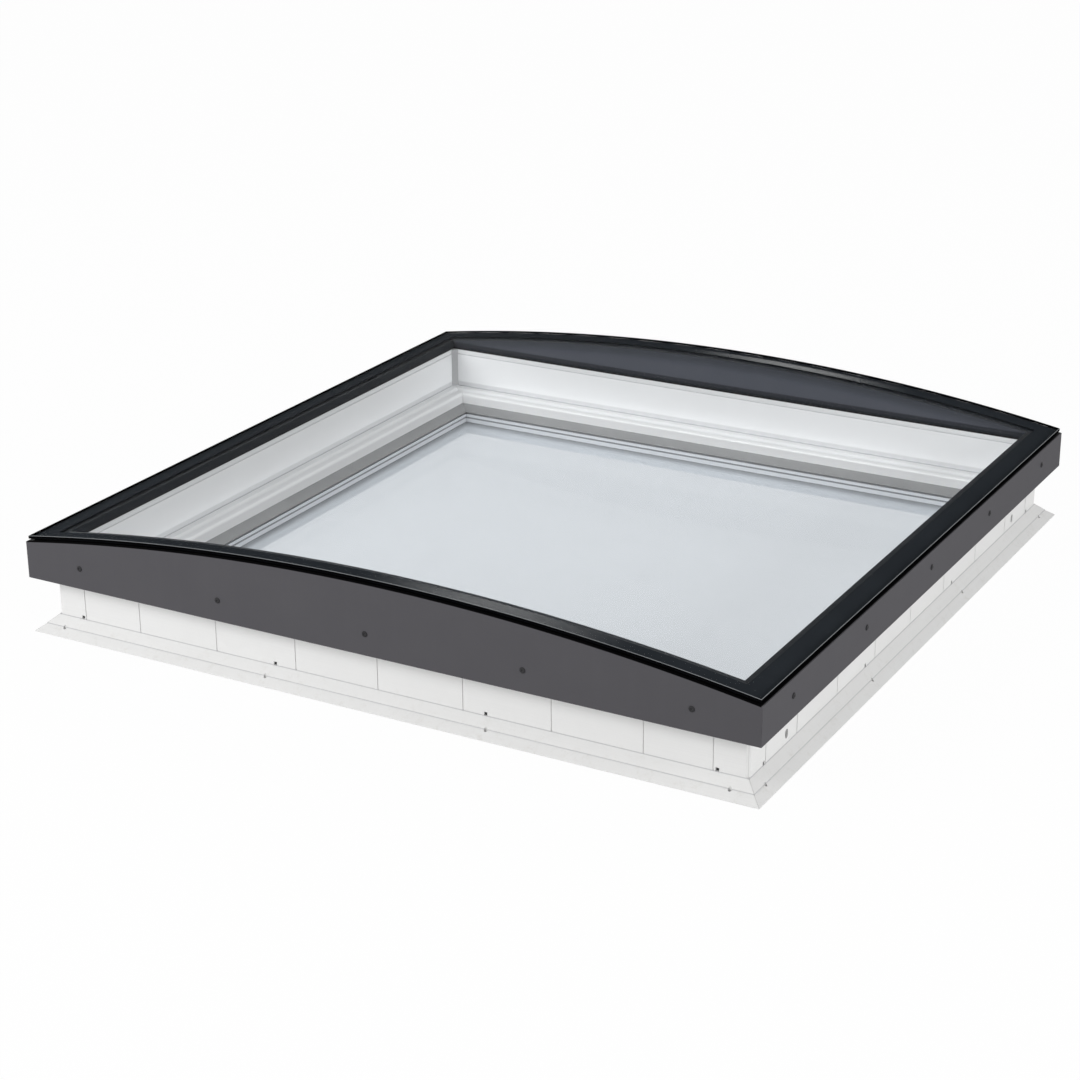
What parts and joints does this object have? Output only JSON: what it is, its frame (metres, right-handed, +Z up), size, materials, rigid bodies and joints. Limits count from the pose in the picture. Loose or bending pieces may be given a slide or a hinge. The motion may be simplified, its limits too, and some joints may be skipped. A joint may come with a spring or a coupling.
{
  "type": "fixed roof skylight",
  "caption": "Fixed flat-roof skylight: white insulated frame with a canted foot, flat sealed glass unit and, above it, a dark cover frame with a shallow arched pane.",
  "frame": {"origin": "middle of the frame's underside, on the roof surface", "axes": "+Z up; +X across the arch, to the right seen from the front; the arched edges of the pane face -Y (front) and +Y (back)"},
  "size_m": [1.1428, 1.1428, 0.194],
  "materials": {
    "frame_white": "extruded white frame profile, satin gloss with faint drawing lines",
    "foam_core": "rigid insulating foam, dull",
    "bead_white": "white extruded bead, satin gloss",
    "strip_grey": "light grey strip, dull",
    "cover_dark": "dark grey powder coating, fine texture",
    "former_dark": "dark grey moulded plastic, dull",
    "apron_grey": "warm dark grey powder coating, fine texture",
    "lower_seal": "dark seal rubber",
    "block_blue": "hard plastic block",
    "laminated_glass": "clear laminated glass",
    "spacer": "light grey warm-edge spacer, dull",
    "edge_seal": "black edge sealant",
    "flat_glass": "clear toughened glass",
    "grey_seal": "mid grey seal rubber",
    "black_seal": "black seal rubber",
    "clip_steel": "stainless sheet",
    "screw_bright": "stainless screw",
    "key_metal": "mill-finish extrusion",
    "screw_dark": "dark coated flat-head screw",
    "bond": "black structural bond",
    "enamel": "black enamel fired on glass",
    "curved_glass": "clear toughened glass, bent, smooth"
  },
  "bodies": {
    "root": {"base_front": "frame_white", "base_right": "frame_white", "base_back": "frame_white", "base_left": "frame_white", "core_front": "foam_core", "core_right": "foam_core", "core_back": "foam_core", "core_left": "foam_core", "lower_gasket": "lower_seal", "setting_blocks": "block_blue", "unit_inner_pane": "laminated_glass", "unit_spacer": "spacer", "unit_edge_seal": "edge_seal", "unit_outer_pane": "flat_glass", "upper_gasket": "grey_seal", "bead_front": "bead_white", "bead_right": "bead_white", "bead_back": "bead_white", "bead_left": "bead_white", "corner_strip_fl": "strip_grey", "corner_strip_fr": "strip_grey", "corner_strip_br": "strip_grey", "corner_strip_bl": "strip_grey", "cover_seal": "black_seal", "cover_clips": "clip_steel", "clip_screws": "screw_bright", "rail_front": "cover_dark", "rail_right": "cover_dark", "rail_back": "cover_dark", "rail_left": "cover_dark", "corner_keys": "key_metal", "arch_former_front": "former_dark", "arch_former_back": "former_dark", "apron_front": "apron_grey", "apron_right": "apron_grey", "apron_back": "apron_grey", "apron_left": "apron_grey", "apron_screws": "screw_dark", "cover_bond": "bond", "black_border": "enamel", "glass_cover": "curved_glass"}
  },
  "joints": []
}
